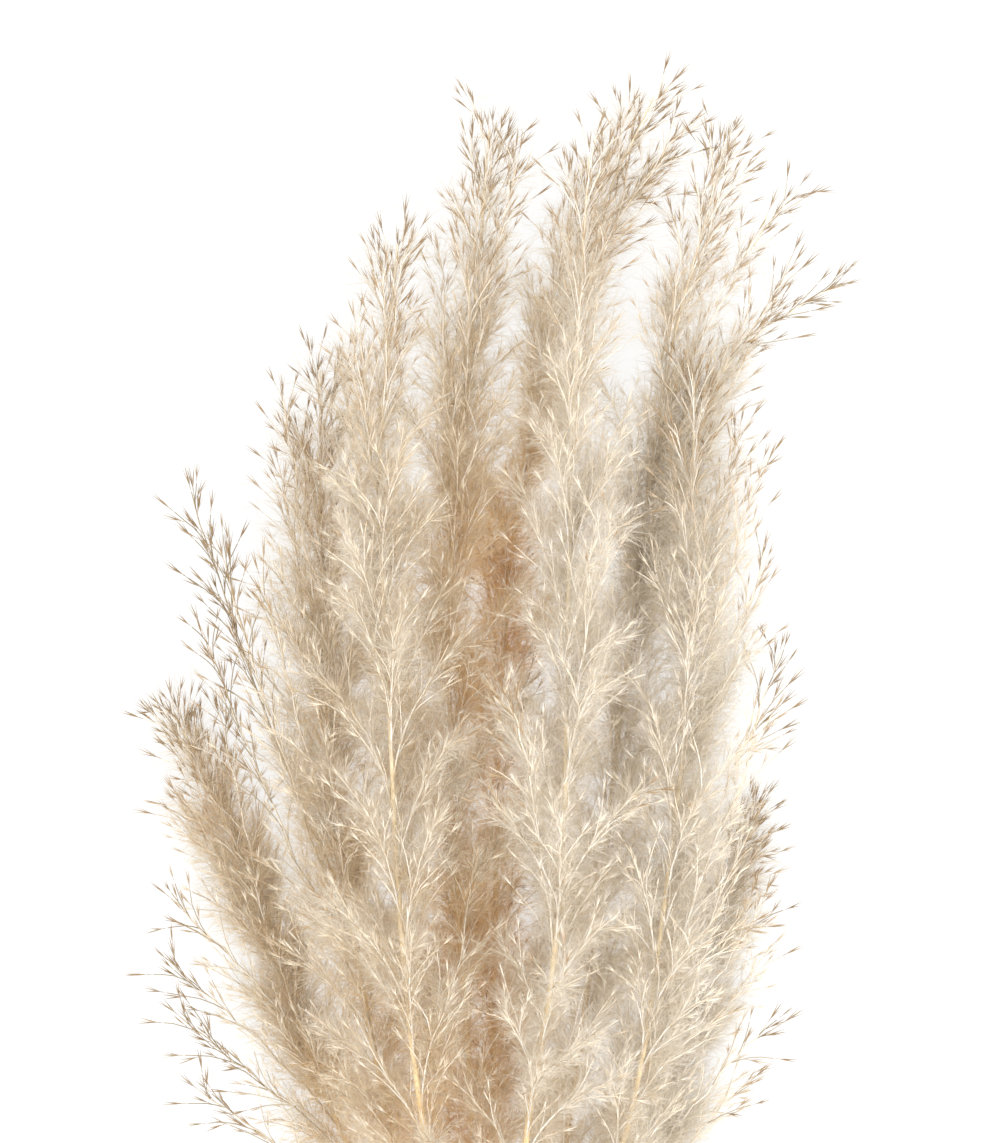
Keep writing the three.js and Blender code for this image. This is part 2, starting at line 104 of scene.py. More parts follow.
# ---- what grows on a head ----
HIGHEST = 229                   # nothing that grows stands higher
FLOOR_EASE = 4.0                # what lies lower than this is pressed down by the floor
BRANCHES_PER_SOURCE_ONE = 4
BRANCHES_PER_HEAD = BRANCHES_IN_SOURCE * BRANCHES_PER_SOURCE_ONE
BRANCH_POINTS, SPRAY_POINTS, BRANCHLET_POINTS = 12, 14, 5
BRANCH_BOW, BRANCHLET_BOW = 0.75, 0.5
BRANCH_WAVER, BRANCHLET_WAVER = 0.006, 0.012  # as shares of their length
SPRAY_WAVER = 0.9               # in millimetres
PAST_THE_TIP = 30               # the furthest that a branch goes past the tip of its rachis
SPRAY_END = 21                  # the last branchlets and spikelets of a spray take up this much
BRANCHLET_EVERY = 9.0           # along a branch
BRANCHLET_LENGTH = (13, 27)     # the shortest, and how much longer the longest is
BRANCHLET_SPAN = (0.11, 0.86)   # where they begin on a branch, and the share of it that bears them
BRANCHLET_LEAVING = (12, 36)    # degrees from the branch
SPIKELET_EVERY = 13             # along a branchlet
SPIKELET_LENGTH, SPIKELET_WIDTH = 15.0, 1.0
SPIKELET_LEAN = (8, 26)         # degrees from the branchlet
BRANCH_RADII = (0.95, 0.34)     # at root and tip
SPRAY_RADII = (1.0, 0.34)
BRANCHLET_RADII = (0.42, 0.3)
RACHIS_RADII = (CULM_RADIUS["head"], 0.5)
RACHIS_SIDES, BRANCH_SIDES = 9, 3

# how many hairs grow at a place, their length and width, how widely they spread, and how far along the
# limb they begin. Real down is 0.05 mm thick: a few hairs are drawn as one, so that they show.
Hairs = namedtuple("Hairs", "most length width spread run")
DOWN = Hairs(20, 14.0, 0.22, 1.1, 7.5)            # at each spikelet
SILK = Hairs(50, 22.0, 0.3, 1.4, 11.0)            # at each branchlet
LOOSE_FIBRES = Hairs(1, 3.6, 0.16, 0.2, 0.0)      # on the twine
HAIRS_RISE = 1.7                  # the highest that hairs rise from their place, in their own lengths

# how far out the down is packed on a head, against the usual
FLUFF_REACH = {"right": 0.66, "low_right": 0.5, "far_left": 0.62, "low_left": 0.42, "tall": 1.35,
               "tall_left": 1.3, "arching": 1.15}
FLUFF_FROM, FLUFF_OVER = 20, 38   # from the nearest rachis, where the down grows less, and over how much
THIN_FROM, THIN_OVER = 26, 46     # the same for branches and branchlets
# painted shade: a warmer tone where the heads over the bundle's middle keep the light away. Its middle
# across, half width, the height above which there is none, how deep it takes to grow full, and where along
# the bundle it ends, fading over how much
MIDDLE_SHADE = {"x": -22, "half_width": 60, "top": 150, "deep": 90, "y": 400, "fade": 160}
DARKEST, PALEST = 0.98, 0.02      # ends of the tones


def unit(vectors):
    """The vectors made one long."""
    return vectors / np.linalg.norm(vectors, axis=-1, keepdims=True)


class Run:
    """A line of close points, read by the share of its length."""

    def __init__(self, points):
        self.points = np.array(points, float)
        steps = np.linalg.norm(np.diff(self.points, axis=0), axis=1)
        self.length = steps.sum()
        self.shares = np.concatenate([[0], np.cumsum(steps)]) / self.length

    def at(self, share):
        return np.stack([np.interp(share, self.shares, column) for column in self.points.T], -1)

    def along(self, share):
        return unit(self.at(np.minimum(share + 0.01, 1)) - self.at(np.maximum(share - 0.01, 0)))

    def stretch(self, start, end, count):
        return Run(self.at(np.linspace(start, end, count)))


def smooth_run(points, per_stretch=40):
    """A centripetal Catmull-Rom curve through the points."""
    points = np.array(points, float)
    ring = [2 * points[0] - points[1], *points, 2 * points[-1] - points[-2]]
    t = np.linspace(0, 1, per_stretch, endpoint=False)[:, None]
    made = []
    for a, b, c, d in zip(ring, ring[1:], ring[2:], ring[3:]):
        ab, bc, cd = (np.linalg.norm(q - p) ** 0.5 for p, q in ((a, b), (b, c), (c, d)))
        leave = ((b - a) / ab - (c - a) / (ab + bc) + (c - b) / bc) * bc
        reach = ((c - b) / bc - (d - b) / (bc + cd) + (d - c) / cd) * bc
        made.append(b + leave * t + (3 * (c - b) - 2 * leave - reach) * t**2
                    + (2 * (b - c) + leave + reach) * t**3)
    return Run(np.concatenate([*made, points[-1:]]))


def stalk_run(bed, rachis):
    """The whole run of a stalk, from its cut end through the twine to the tip of its head."""
    across, up = np.array(bed) * CULM_PITCH
    cut = (TIE[0] + across * CUT_END_SPREAD, CUT_END_Y, CUT_END_LIFT + up * CUT_END_SPREAD)
    straight = [(TIE[0] + across, TIE[1] + share * STRAIGHT_BY_TIE, TIE[2] + up)
                for share in (-1, -1 / 3, 1 / 3, 1)]
    return smooth_run([cut, *straight, *rachis])


def outwards(along, angle):
    """The direction square to a run, turned by this angle from its side."""
    side = unit(np.cross(along, (0, 0, 1)))
    return side * math.cos(angle) + np.cross(side, along) * math.sin(angle)


def pressed(points):
    """Points near the floor are eased up, so that they stay above it."""
    low = points[:, 2] < PRESSED_BELOW
    points[low, 2] = PRESSED_BELOW * np.exp(points[low, 2] / PRESSED_BELOW - 1)
    return points


def arch(root, along, tip, bow, count, waver, rng):
    """A slightly wavering arch from root to tip. Its bow draws it towards the limb that it leaves."""
    length = np.linalg.norm(tip - root)
    shoulder = (root + tip) / 2 * (1 - bow) + (root + along * length / 2) * bow
    t = np.linspace(0, 1, count)[:, None]
    points = root * (1 - t) ** 2 + shoulder * 2 * t * (1 - t) + tip * t**2
    points[1:] += rng.normal(0, waver * length, (count - 1, 3)) * t[1:]
    return Run(pressed(points))


def tapered(run, root, tip):
    """A run with its radius at each point."""
    return run, np.interp(run.shares, (0, 1), (root, tip))

# ---- where the stalks run ----
runs = {name: stalk_run(stalk.bed, stalk.rachis) for name, stalk in STALKS.items()}
head_shares = {name: np.interp(STALKS[name].head_y, run.points[:, 1], run.shares)
               for name, run in runs.items()}
rachises = {name: run.stretch(head_shares[name], 1, 60) for name, run in runs.items()}


def from_rachis(places):
    """How far each place is from the nearest rachis of any head."""
    nearest = np.full(len(places), 1e9)
    for run in rachises.values():
        for point in run.points:
            nearest = np.minimum(nearest, np.linalg.norm(places - point, axis=1))
    return nearest


def up_the_head(name, places):
    """The share of the head's length beside which each place is."""
    apart = np.linalg.norm(places[:, None] - rachises[name].points, axis=2)
    return rachises[name].shares[apart.argmin(axis=1)]


def middle_shade(places):
    """How deep each place lies in the shade of the heads over it, near the middle: painted in as a warmer
    tone.
    """
    x, y, z = places.T
    across = np.exp(-(((x - MIDDLE_SHADE["x"]) / MIDDLE_SHADE["half_width"]) ** 2))
    return (across * np.clip((MIDDLE_SHADE["top"] - z) / MIDDLE_SHADE["deep"], 0, 1)
            * np.clip((MIDDLE_SHADE["y"] - y) / MIDDLE_SHADE["fade"], 0, 1))


def fluff_at(name, places, depth, reach=1.0):
    """How fluffy a place on a head is: less far from the rachises, and towards the head's tip."""
    near_the_tip = np.clip((1.07 - up_the_head(name, places)) / 0.38, 0.2, 1)
    outwards_less = np.clip(1.2 - (depth / reach - FLUFF_FROM) / FLUFF_OVER, 0.03, 1) * near_the_tip
    return np.maximum(outwards_less, 1.1 * middle_shade(places))


def kept_share(places):
    """The share of a head's limbs left at each place: wind and handling thin out the outer ones."""
    return np.clip(1.2 - (from_rachis(places) - THIN_FROM) / THIN_OVER, 0.2, 1)


def branch_length(reach, share):
    """How long a branch grows at this share of its head: longest two fifths of the way up."""
    return reach * (0.42 + 0.58 * math.sin(math.pi * (0.18 + 0.8 * share)) ** 1.2)


def head_branches(name, rachis, rng):
    """The branches of a head, as runs with their radii: four round the rachis for each of the source's,
    thinned out, and the long sprays, which all stay."""
    stalk, branches = STALKS[name], []
    for k in range(BRANCHES_PER_HEAD):
        twist, again = divmod(k, BRANCHES_PER_SOURCE_ONE)
        share = min(0.05 + 0.9 * (k / BRANCHES_PER_SOURCE_ONE + 0.5) / BRANCHES_IN_SOURCE, 0.97)
        root, along = rachis.at(share), rachis.along(share)
        leaving = np.interp(share, (0, 1), LEAVING_ANGLE) * (rng.uniform(0.5, 1.15) if again else 1)
        angle = (stalk.phase + twist * TURN_PER_BRANCH + again * math.tau / BRANCHES_PER_SOURCE_ONE
                 + rng.normal(0, 0.2))
        length = branch_length(stalk.reach, share) * (rng.uniform(0.7, 1.02) if again else 1)
        length = min(length, (1 - share) * rachis.length + PAST_THE_TIP) - SPIKELET_LENGTH
        tip = root + length * (along * math.cos(leaving) + outwards(along, angle) * math.sin(leaving))
        run = arch(root, along, tip, BRANCH_BOW, BRANCH_POINTS, BRANCH_WAVER, rng)
        branches.append(tapered(run, *BRANCH_RADII))
    for share, bow, *end in stalk.sprays:
        root, along = rachis.at(share), rachis.along(share)
        run = arch(root, along, np.array(end, float), bow, 30, 0, rng)
        run = run.stretch(0, 1 - SPRAY_END / run.length, SPRAY_POINTS)
        run.points[1:] += rng.normal(0, SPRAY_WAVER, (SPRAY_POINTS - 1, 3))
        branches.append(tapered(Run(run.points), *SPRAY_RADII))
    kept = kept_share(np.array([run.points[-1] for run, _ in branches])) > rng.random(len(branches))
    kept[BRANCHES_PER_HEAD:] = True
    return [limb for limb, stays in zip(branches, kept) if stays]


def head_branchlets(branches, rng):
    """The branchlets that leave the branches in a spiral, as runs with their radii. Sprays keep them all."""
    branchlets = []
    first, span = BRANCHLET_SPAN
    shortest, longer = BRANCHLET_LENGTH
    for run, _ in branches:
        count = int(run.length * span / BRANCHLET_EVERY)
        shares = first + span * (np.arange(count) + rng.uniform(0.2, 0.8, count)) / count
        if len(run.points) == BRANCH_POINTS:
            shares = shares[rng.random(count) < kept_share(run.at(shares))]
        for i, share in enumerate(shares):
            root, along = run.at(share), run.along(share)
            leaving = math.radians(rng.uniform(*BRANCHLET_LEAVING))
            length = shortest + longer * math.sin(math.pi * (0.12 + 0.8 * share))
            length = min(length * rng.uniform(0.65, 1.1), 6 + run.length * (1 - share))
            out = outwards(along, i * TURN_PER_BRANCH + rng.normal(0, 0.3))
            tip = root + length * (along * math.cos(leaving) + out * math.sin(leaving))
            if tip[2] > HIGHEST - SPIKELET_LENGTH:
                continue
            made = arch(root, along, tip, BRANCHLET_BOW, BRANCHLET_POINTS, BRANCHLET_WAVER, rng)
            branchlets.append(tapered(made, *BRANCHLET_RADII))
    return branchlets


def head_spikelets(branches, branchlets, rng):
    """Where spikelets sit on a head, and which way they point."""
    places, aims = [], []
    for limbs, first in ((branches, 0.55), (branchlets, 0.3)):
        for run, _ in limbs:
            count = max(2, round(run.length * (1 - first) / SPIKELET_EVERY) + 1)
            for i, share in enumerate(np.linspace(first, 1, count)):
                along = run.along(share)
                lean = 0 if share == 1 else math.radians(rng.uniform(*SPIKELET_LEAN))
                out = outwards(along, i * math.pi + rng.uniform(-0.8, 0.8))
                aims.append(along * math.cos(lean) + out * math.sin(lean))
                places.append(run.at(share) + aims[-1] * SPIKELET_LENGTH * 0.2)
    return np.array(places), np.array(aims)


# ---- meshes ----
def attributed(name, places, edges=(), faces=(), **attributes):
    """A mesh in metres of places in millimetres, with an attribute on its points for each name."""
    mesh = bpy.data.meshes.new(name)
    mesh.from_pydata((places * MM).tolist(), edges, faces, shade_flat=False)
    for key, values in attributes.items():
        kind = "FLOAT_VECTOR" if values.ndim == 2 else "INT" if values.dtype.kind == "i" else "FLOAT"
        entry = mesh.attributes.new(key, kind, "POINT")
        entry.data.foreach_set("vector" if values.ndim == 2 else "value", values.ravel())
    return mesh


def placed(name, data):
    """A new object in the scene, at the origin."""
    piece = bpy.data.objects.new(name, data)
    bpy.context.scene.collection.objects.link(piece)
    return piece


def limbs_mesh(name, limbs, tones):
    """The middle lines of limbs, with the thickness and tone that they grow to."""
    places, edges, radii, along, tone = [], [], [], [], []
    for (run, radius), limb_tone in zip(limbs, tones):
        first, count = sum(map(len, places)), len(run.points)
        places.append(run.points + BUNDLE_SHIFT)
        edges += [(first + i, first + i + 1) for i in range(count - 1)]
        radii.append(radius * MM)
        along.append(run.shares)
        tone.append(np.full(count, limb_tone))
    return attributed(name, np.concatenate(places), edges, radius_here=np.concatenate(radii),
                      along=np.concatenate(along), tone=np.concatenate(tone))


# the strands' map, for materials and bake: across is a strand's tone, and up is from its root to its tip
MAP_STRIP = 0.004        # how far a strand's sides are from its middle


def add(tree, kind, inputs=None, stops=None, **settings):
    """Adds a node with its settings. An input is a link from a node or socket, or else a value."""
    made = tree.nodes.new(kind)
    for key, value in settings.items():
        setattr(made, key, value)
    for key, value in (inputs or {}).items():
        for source in value if isinstance(value, list) else [value]:
            if isinstance(source, bpy.types.Node):
                source = source.outputs[0]
            if isinstance(source, bpy.types.NodeSocket):
                tree.links.new(source, made.inputs[key])
            else:
                made.inputs[key].default_value = source
    if stops:
        ramp = made.color_ramp
        ramp.elements[0].position, ramp.elements[1].position = stops[0][0], stops[-1][0]
        ramp.elements[0].color, ramp.elements[1].color = linear(stops[0][1]), linear(stops[-1][1])
        for place, colour in stops[1:-1]:
            ramp.elements.new(place).color = linear(colour)
    return made


def new_tree(name, sizes):
    """A geometry tree with a geometry input and output, and a named input for each of its sizes."""
    tree = bpy.data.node_groups.new(name, "GeometryNodeTree")
    for way in ("INPUT", "OUTPUT"):
        tree.interface.new_socket("Geometry", in_out=way, socket_type="NodeSocketGeometry")
    for size, kind in sizes.items():
        tree.interface.new_socket(size, in_out="INPUT", socket_type="NodeSocket" + kind)
    return tree, tree.nodes.new("NodeGroupInput").outputs


def finish_tree(tree, geometry, material, smooth=False):
    """Ends a tree: instances made real, what lies too low eased up, the strands' map stored, the
    material set."""
    real = add(tree, "GeometryNodeRealizeInstances", {0: geometry})
    low = add(tree, "ShaderNodeSeparateXYZ", {0: add(tree, "GeometryNodeInputPosition")}).outputs["Z"]
    share = add(tree, "ShaderNodeMath", {0: low, 1: FLOOR_EASE * MM}, operation="DIVIDE")
    below = add(tree, "ShaderNodeMath", {0: share, 1: 1.0}, operation="SUBTRACT")
    eased = add(tree, "ShaderNodeMath", {0: add(tree, "ShaderNodeMath", {0: below}, operation="EXPONENT"),
                                         1: FLOOR_EASE * MM}, operation="MULTIPLY")
    lift = add(tree, "ShaderNodeMath", {0: eased, 1: low}, operation="SUBTRACT")
    is_low = add(tree, "ShaderNodeMath", {0: share, 1: 1.0}, operation="LESS_THAN")
    held = add(tree, "GeometryNodeSetPosition", {
        "Geometry": real, "Selection": is_low,
        "Offset": add(tree, "ShaderNodeCombineXYZ", {"Z": lift})})
    tone, along, side = (
        add(tree, "GeometryNodeInputNamedAttribute", {"Name": key}, data_type="FLOAT")
        for key in ("tone", "along", "side"))
    across = add(tree, "ShaderNodeMath", {0: side, 1: MAP_STRIP, 2: tone}, operation="MULTIPLY_ADD")
    across = add(tree, "ShaderNodeClamp", {0: across})
    place = add(tree, "ShaderNodeCombineXYZ", {"X": across, "Y": along})
    mapped = add(tree, "GeometryNodeStoreNamedAttribute", {
        "Geometry": held, "Name": "OFBake", "Value": place}, data_type="FLOAT2", domain="CORNER")
    shaded = add(tree, "GeometryNodeSetShadeSmooth", {0: mapped, "Shade Smooth": smooth})
    done = add(tree, "GeometryNodeSetMaterial", {"Geometry": shaded, "Material": material})
    add(tree, "NodeGroupOutput", {0: done})
    return tree


def limb_tree():
    """Grows limbs from middle lines."""
    tree, given = new_tree("grow limbs", {"Sides": "Int", "Material": "Material"})
    line = add(tree, "GeometryNodeMeshToCurve", {"Mesh": given["Geometry"]})
    radius = add(tree, "GeometryNodeInputNamedAttribute", {"Name": "radius_here"}, data_type="FLOAT")
    outline = add(tree, "GeometryNodeCurvePrimitiveCircle", {"Resolution": given["Sides"], "Radius": 1.0})
    side = add(tree, "ShaderNodeMath", {0: add(tree, "GeometryNodeInputIndex"), 1: 1.0},
               operation="SUBTRACT")
    outline = add(tree, "GeometryNodeStoreNamedAttribute", {
        "Geometry": outline, "Name": "side", "Value": side}, data_type="FLOAT", domain="POINT")
    tube = add(tree, "GeometryNodeCurveToMesh", {
        "Curve": line, "Profile Curve": outline, "Scale": radius, "Fill Caps": True})
    return finish_tree(tree, tube, given["Material"], smooth=True)


def facing(tree, aim, seed):
    """The rotation that points Z along aim, spun at random about it."""
    spin = add(tree, "FunctionNodeRandomValue", {2: 0.0, 3: math.tau, "Seed": seed}, data_type="FLOAT")
    turn = add(tree, "FunctionNodeAxisAngleToRotation", {"Axis": (0, 0, 1), "Angle": spin.outputs[1]})
    point = add(tree, "FunctionNodeAlignRotationToVector", {"Vector": aim}, axis="Z")
    return add(tree, "FunctionNodeRotateRotation", {0: point, 1: turn}, rotation_space="LOCAL")


def setting_tree():
    """Sets a shape on each point, along its aim."""
    tree, given = new_tree("set along aims", {
        "Shape": "Object", "Length": "Float", "Width": "Float", "Seed": "Int", "Material": "Material"})
    aim = add(tree, "GeometryNodeInputNamedAttribute", {"Name": "aim"}, data_type="FLOAT_VECTOR")
    shape = add(tree, "GeometryNodeObjectInfo", {"Object": given["Shape"]})
    grown_to = add(tree, "GeometryNodeInputNamedAttribute", {"Name": "grown_to"}, data_type="FLOAT")
    size = add(tree, "ShaderNodeCombineXYZ", {
        "X": given["Width"], "Y": given["Width"], "Z": given["Length"]})
    size = add(tree, "ShaderNodeVectorMath", {0: size, "Scale": grown_to}, operation="SCALE")
    set_out = add(tree, "GeometryNodeInstanceOnPoints", {
        "Points": given["Geometry"], "Instance": shape.outputs["Geometry"],
        "Rotation": facing(tree, aim, given["Seed"]), "Scale": size})
    return finish_tree(tree, set_out, given["Material"])


def down_tree():
    """Sets silky hairs round each point, spreading about its aim."""
    tree, given = new_tree("set down", {
        "Hair": "Object", "Length": "Float", "Width": "Float", "Spread": "Float", "Run": "Float",
        "Seed": "Int", "Material": "Material"})
    many = add(tree, "GeometryNodeInputNamedAttribute", {"Name": "hairs"}, data_type="INT")
    hairs = add(tree, "GeometryNodeDuplicateElements", {"Geometry": given["Geometry"], "Amount": many},
                domain="POINT")
    aim = add(tree, "GeometryNodeInputNamedAttribute", {"Name": "aim"}, data_type="FLOAT_VECTOR")
    astray = add(tree, "FunctionNodeRandomValue", {0: (-1, -1, -1), 1: (1, 1, 1), "Seed": given["Seed"]},
                 data_type="FLOAT_VECTOR")
    astray = add(tree, "ShaderNodeVectorMath", {0: astray, "Scale": given["Spread"]}, operation="SCALE")
    way = add(tree, "ShaderNodeVectorMath", {0: aim, 1: astray}, operation="ADD")
    from_root = add(tree, "FunctionNodeRandomValue", {2: -0.3, 3: 1.0, "Seed": given["Seed"]},
                    data_type="FLOAT")
    from_root = add(tree, "ShaderNodeMath", {0: from_root.outputs[1], 1: given["Run"]},
                    operation="MULTIPLY")
    rooted = add(tree, "GeometryNodeSetPosition", {
        "Geometry": hairs,
        "Offset": add(tree, "ShaderNodeVectorMath", {0: aim, "Scale": from_root}, operation="SCALE")})
    tone = add(tree, "GeometryNodeInputNamedAttribute", {"Name": "tone"}, data_type="FLOAT")
    stray_tone = add(tree, "FunctionNodeRandomValue", {2: -0.06, 3: 0.06, "Seed": given["Seed"]},
                     data_type="FLOAT")
    own_tone = add(tree, "ShaderNodeMath", {0: tone, 1: stray_tone.outputs[1]}, operation="ADD")
    own_tone = add(tree, "ShaderNodeClamp", {0: own_tone, 1: 0.01, 2: 0.99})
    toned = add(tree, "GeometryNodeStoreNamedAttribute", {
        "Geometry": rooted, "Name": "tone", "Value": own_tone}, data_type="FLOAT", domain="POINT")
    grown_to = add(tree, "FunctionNodeRandomValue", {2: 0.55, 3: 1.2, "Seed": given["Seed"]},
                   data_type="FLOAT").outputs[1]
    long = add(tree, "ShaderNodeMath", {0: given["Length"], 1: grown_to}, operation="MULTIPLY")
    size = add(tree, "ShaderNodeCombineXYZ", {"X": given["Width"], "Y": given["Width"], "Z": long})
    shape = add(tree, "GeometryNodeObjectInfo", {"Object": given["Hair"]})
    set_out = add(tree, "GeometryNodeInstanceOnPoints", {
        "Points": toned, "Instance": shape.outputs["Geometry"],
        "Rotation": facing(tree, way, given["Seed"]), "Scale": size})
    return finish_tree(tree, set_out, given["Material"])


def grown(name, mesh, tree, sizes):
    """The plain mesh piece that a tree grows from a mesh."""
    piece = placed(name, mesh)
    modifier = piece.modifiers.new("grow", "NODES")
    modifier.node_group = tree
    for item in tree.interface.items_tree:
        if item.in_out == "INPUT" and item.name in sizes:
            modifier[item.identifier] = sizes[item.name]
    evaluated = bpy.context.evaluated_depsgraph_get()
    plain = bpy.data.meshes.new_from_object(piece.evaluated_get(evaluated), depsgraph=evaluated)
    piece.modifiers.clear()
    plain.materials.clear()
    plain.materials.append(sizes["Material"])
    plain.polygons.foreach_set("material_index", np.zeros(len(plain.polygons), np.int32))
    piece.data = plain
    return piece


def hair_shape():
    """A hair one unit long and wide: a sliver of four faces."""
    places = np.array([(0, 0, 0), (0.5, 0.25, 0.42), (-0.5, 0.25, 0.42), (0, 0, 1)]) / MM
    faces = [(0, 2, 1), (3, 1, 2), (0, 1, 3), (0, 3, 2)]
    return attributed("hair", places, (), faces, along=np.array([0.0, 0.42, 0.42, 1.0]),
                      side=np.array([0.0, 1.0, -1.0, 0.0]))


def spikelet_shape():
    """A spikelet one unit long: two keeled glumes that part in a V, a floret between them, and the
    stalk under them. Each blade is given by its tip and the way that its keel faces."""
    places, faces, along, side = [], [], [], []
    for tip_x, tip_y, tip_z, turn in ((2.6, 0.5, 0.96, 0.2), (-2.4, -0.5, 0.88, 2.9), (0.3, 1, 1, 1.4)):
        first, wide = len(places), np.array([math.cos(turn + math.pi / 2), math.sin(turn + math.pi / 2)])
        keel = 0.35 * np.array([math.cos(turn), math.sin(turn)])
        belly = np.array([tip_x, tip_y]) * 0.25
        places.append((0, 0, 0))
        for out in (belly + wide * 0.45, belly - wide * 0.45, belly + keel):
            places.append((*out, 0.38 * tip_z))
        places.append((tip_x, tip_y, tip_z))
        along += [0.25, 0.55, 0.55, 0.55, 1.0]
        side += [0.0, 1.0, -1.0, 0.0, 0.0]
        faces += [tuple(first + i for i in face) for face in (
            (0, 2, 1), (0, 3, 2), (0, 1, 3), (4, 1, 2), (4, 2, 3), (4, 3, 1))]
    first = len(places)
    places += [(0, 0, -0.24), (0.3, 0, 0.04), (-0.15, 0.25, 0.04), (-0.15, -0.25, 0.04)]
    along += [0.0, 0.25, 0.25, 0.25]
    side += [0.0, 1.0, -1.0, 0.0]
    faces += [tuple(first + i for i in face) for face in ((0, 2, 1), (0, 3, 2), (0, 1, 3), (1, 2, 3))]
    return attributed("spikelet", np.array(places) / MM, (), faces, along=np.array(along),
                      side=np.array(side))


# ---- materials ----
def linear(colour):
    """A linear colour from an sRGB hex value."""
    parts = [int(colour[i:i + 2], 16) / 255 for i in (1, 3, 5)]
    return (*(p / 12.92 if p <= 0.04045 else ((p + 0.055) / 1.055) ** 2.4 for p in parts), 1)


def new_material(name):
    """A material without nodes, and its tree."""
    material = bpy.data.materials.new(name)
    material.use_nodes = True
    material.node_tree.nodes.clear()
    return material, material.node_tree


def strand_material(name, tone_stops, length_stops, rough, shows_through):
    """A thin dry strand that lets some light through. Its colour is that of its tone, times its shade
    from root to tip, both read from the strands' map."""
    material, tree = new_material(name)
    at = add(tree, "ShaderNodeSeparateXYZ", {0: add(tree, "ShaderNodeUVMap", uv_map="OFBake")})
    tone = add(tree, "ShaderNodeValToRGB", {0: at.outputs["X"]}, stops=tone_stops)
    shade = add(tree, "ShaderNodeValToRGB", {0: at.outputs["Y"]}, stops=length_stops)
    colour = add(tree, "ShaderNodeMix", {0: 1.0, 6: tone, 7: shade}, data_type="RGBA",
                 blend_type="MULTIPLY").outputs[2]
    skin = add(tree, "ShaderNodeBsdfPrincipled", {"Base Color": colour, "Roughness": rough, "IOR": 1.45})
    through = add(tree, "ShaderNodeBsdfTranslucent", {"Color": colour})
    both = add(tree, "ShaderNodeMixShader", {0: shows_through, 1: skin, 2: through})
    add(tree, "ShaderNodeOutputMaterial", {"Surface": both})
    return material


def culm_material():
    """Dried grass culm: glossy waxy straw with fine lengthwise fibres, weathered patches and a browner
    joint where a leaf sheath came off."""
    material, tree = new_material("dried straw culm")
    wrap = add(tree, "ShaderNodeUVMap", uv_map="Wrap")
    # around the culm 1 is 20 mm, along it 1 is 1 mm: fibres 0.5 mm apart and 25 mm long
    fibres = add(tree, "ShaderNodeTexNoise", {
        "Vector": add(tree, "ShaderNodeVectorMath", {0: wrap, 1: (40.0, 0.04, 1.0)}, operation="MULTIPLY"),
        "Scale": 1.0, "Detail": 4.0, "Roughness": 0.65})
    patches = add(tree, "ShaderNodeTexNoise", {
        "Vector": add(tree, "ShaderNodeTexCoord").outputs["Object"], "Scale": 1 / (22 * MM),
        "Detail": 2.0, "Roughness": 0.5})
    straw = add(tree, "ShaderNodeValToRGB", {0: fibres}, stops=[
        (0.25, "#a98249"), (0.45, "#c9a668"), (0.6, "#d8bb82"), (0.8, "#e6d0a0")])
    aged = add(tree, "ShaderNodeValToRGB", {0: patches}, stops=[(0.35, "#d2b48a"), (0.6, "#ffffff")])
    colour = add(tree, "ShaderNodeMix", {0: 0.8, 6: straw, 7: aged}, data_type="RGBA",
                 blend_type="MULTIPLY").outputs[2]
    joint = add(tree, "ShaderNodeAttribute", attribute_name="joint").outputs["Fac"]
    colour = add(tree, "ShaderNodeMix", {0: joint, 6: colour, 7: linear("#9a7440")},
                 data_type="RGBA").outputs[2]
    bump = add(tree, "ShaderNodeBump", {"Strength": 0.3, "Distance": 0.15 * MM, "Height": fibres})
    rough = add(tree, "ShaderNodeMapRange", {0: patches, 1: 0.3, 2: 0.7, 3: 0.5, 4: 0.34})
    skin = add(tree, "ShaderNodeBsdfPrincipled", {
        "Base Color": colour, "Roughness": rough, "IOR": 1.5, "Normal": bump})
    add(tree, "ShaderNodeOutputMaterial", {"Surface": skin})
    return material


def pith_material():
    """The cut face of a culm: pale spongy pith with darker vessel dots."""
    material, tree = new_material("dried pith")
    at = add(tree, "ShaderNodeTexCoord").outputs["Object"]
    vessels = add(tree, "ShaderNodeTexVoronoi", {"Vector": at, "Scale": 1 / (0.7 * MM)})
    colour = add(tree, "ShaderNodeValToRGB", {0: vessels}, stops=[(0.1, "#a88a58"), (0.4, "#e6d8b6")])
    bump = add(tree, "ShaderNodeBump", {"Strength": 0.5, "Distance": 0.2 * MM, "Height": vessels})
    skin = add(tree, "ShaderNodeBsdfPrincipled", {"Base Color": colour, "Roughness": 0.9, "Normal": bump})
    add(tree, "ShaderNodeOutputMaterial", {"Surface": skin})
    return material


def jute_material():
    """Jute twine: coarse matt fibres that run along each ply, from straw to brown."""
    material, tree = new_material("twisted jute")
    gone = add(tree, "ShaderNodeAttribute", attribute_name="gone").outputs["Fac"]
    around = add(tree, "ShaderNodeAttribute", attribute_name="around").outputs["Fac"]
    # fibres 0.25 mm apart round a ply of 4 mm, and 2.5 mm long
    at = add(tree, "ShaderNodeCombineXYZ", {
        "X": add(tree, "ShaderNodeMath", {0: around, 1: 16.0}, operation="MULTIPLY"),
        "Y": add(tree, "ShaderNodeMath", {0: gone, 1: 1 / (2.5 * MM)}, operation="MULTIPLY")})
    fibres = add(tree, "ShaderNodeTexNoise", {"Vector": at, "Scale": 1.0, "Detail": 4.0,
                                              "Roughness": 0.7})
    colour = add(tree, "ShaderNodeValToRGB", {0: fibres}, stops=[
        (0.3, "#6f5026"), (0.5, "#a5814f"), (0.7, "#c9a976")])
    bump = add(tree, "ShaderNodeBump", {"Strength": 0.7, "Distance": 0.2 * MM, "Height": fibres})
    skin = add(tree, "ShaderNodeBsdfPrincipled", {"Base Color": colour, "Roughness": 0.9, "Normal": bump})
    add(tree, "ShaderNodeOutputMaterial", {"Surface": skin})
    return material


